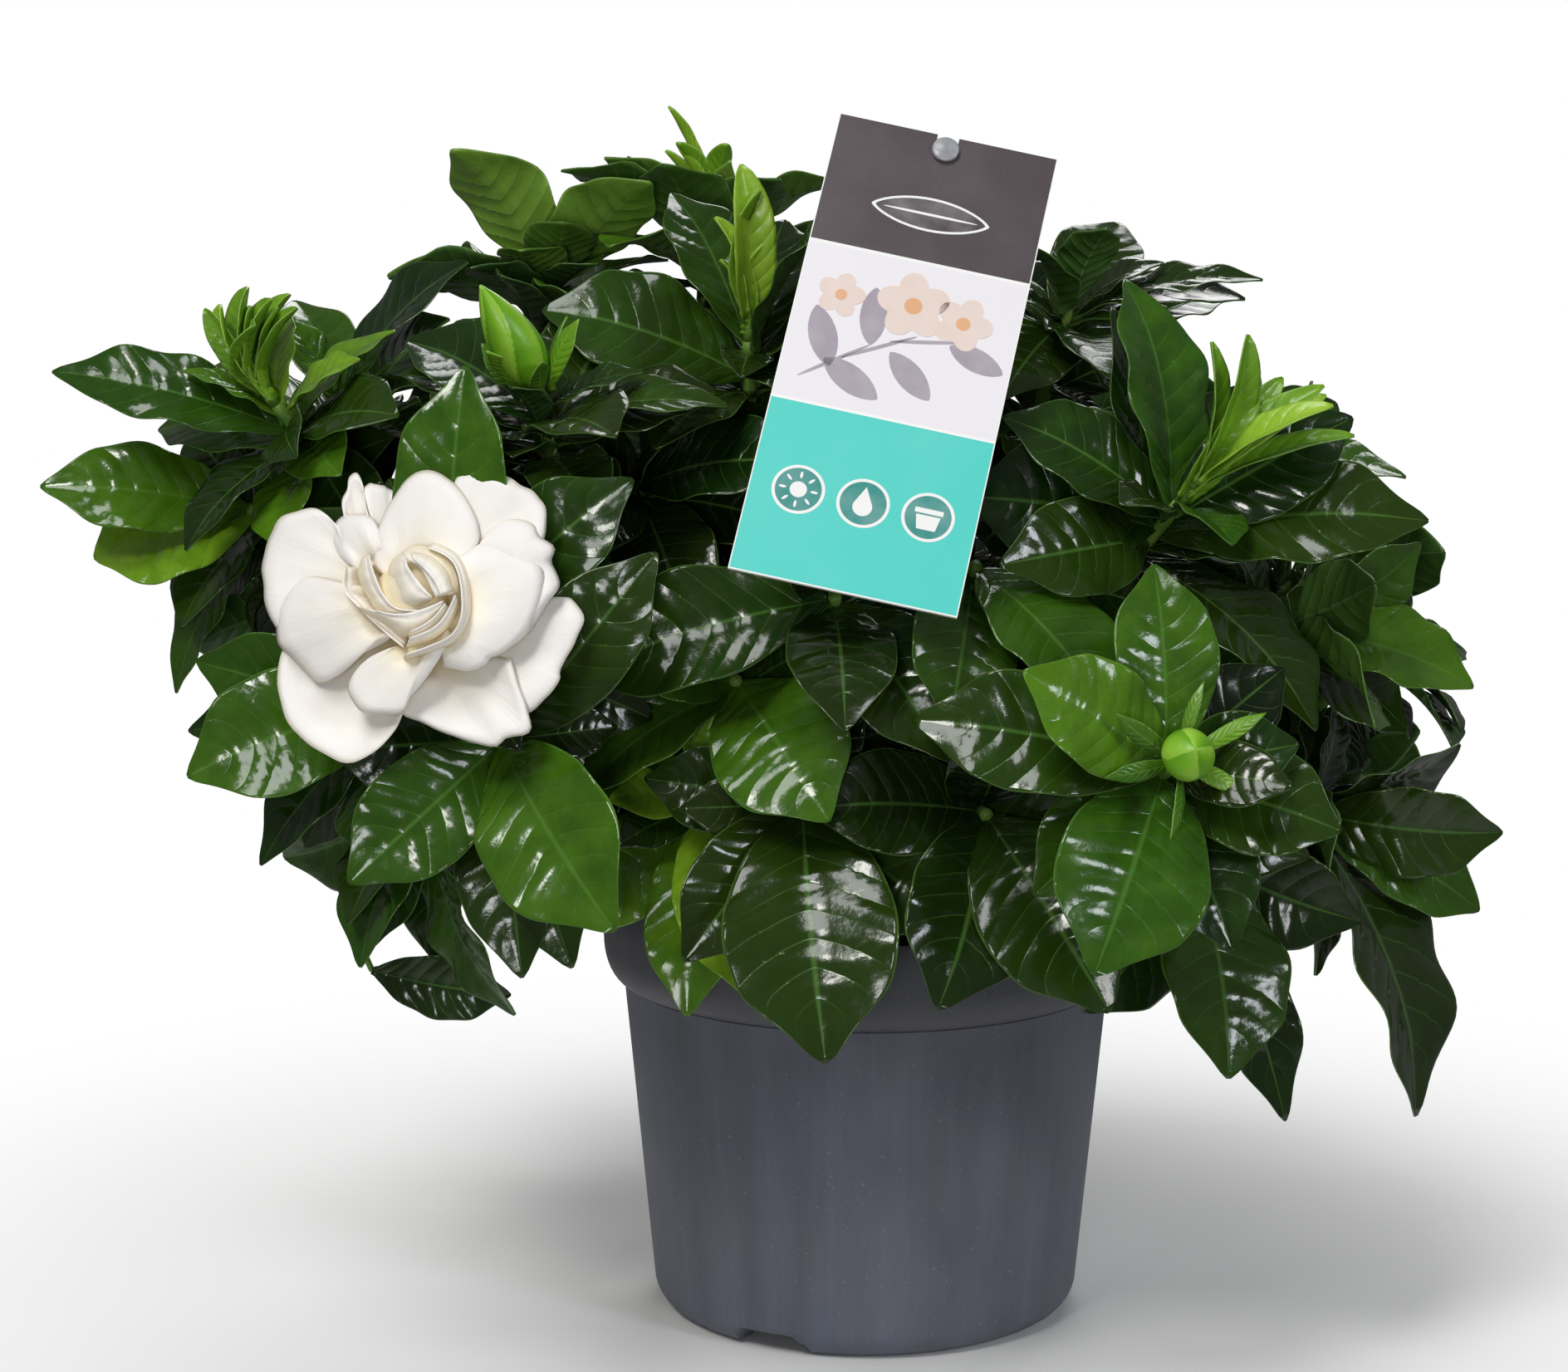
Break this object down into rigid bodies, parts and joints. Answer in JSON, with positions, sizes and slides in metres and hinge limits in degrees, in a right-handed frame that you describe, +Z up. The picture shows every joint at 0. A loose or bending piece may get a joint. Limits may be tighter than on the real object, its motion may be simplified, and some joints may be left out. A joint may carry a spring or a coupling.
{
  "type": "potted gardenia",
  "caption": "Bushy potted flowering shrub with glossy leaves, a double white bloom and buds, in a round nursery pot with soil and a blank card label on a stake.",
  "frame": {"origin": "on the pot's axis in the plane that the pot stands on, at the middle of the central pad under its floor", "axes": "+Z up along the pot's axis; -Y to the front, where the label faces; +X to the viewer's right"},
  "size_m": [0.3821, 0.2784, 0.3253],
  "materials": {
    "plastic": "satin",
    "soil": "matte",
    "bark": "matte",
    "leaf": "gloss",
    "youngLeaf": "satin",
    "bud": "satin",
    "petal": "matte",
    "card": "satin",
    "clearPlastic": "satin"
  },
  "bodies": {
    "root": {"pot": "plastic", "soil": "soil", "label_card": "card", "label_stake": "clearPlastic", "wood_left": "bark", "wood_right": "bark", "wood_back_left": "bark", "wood_back_right": "bark", "bloom": "petal", "bloom_calyx": "bud", "bud_large": "bud", "bud_round": "bud", "flush_topRight": "youngLeaf", "flush_farLeft": "youngLeaf", "flush_topCentre": "youngLeaf", "flush_gapYoung": "youngLeaf", "flush_crown": "youngLeaf", "shoot_roundBud": "leaf", "shoot_underLabel": "leaf", "shoot_topRight": "leaf", "shoot_bloomRosette": "leaf", "shoot_frontLeft": "leaf", "shoot_frontCentre": "leaf", "shoot_midBright": "leaf", "shoot_farLeft": "leaf", "shoot_lowerLeft": "leaf", "shoot_leftLow": "leaf", "shoot_topCentre": "leaf", "shoot_crownLeft": "leaf", "shoot_bigBud": "leaf", "shoot_topLeft": "leaf", "shoot_frontMid": "leaf", "shoot_rightLow": "leaf", "shoot_frontRight": "leaf", "shoot_right": "leaf", "shoot_labelRight": "leaf", "shoot_gapYoung": "leaf", "shoot_hangLeft": "leaf", "shoot_crown": "leaf", "shoot_behindLabel": "leaf", "shoot_shoulder": "leaf", "shoot_midLeft": "leaf", "shoot_rightEdge": "leaf", "shoot_backA": "leaf", "shoot_backB": "leaf", "shoot_backC": "leaf", "shoot_backD": "leaf", "shoot_backE": "leaf", "shoot_backF": "leaf", "shoot_backG": "leaf", "shoot_backH": "leaf", "shoot_backI": "leaf", "shoot_backJ": "leaf", "shoot_backK": "leaf", "shoot_backL": "leaf"}
  },
  "joints": []
}
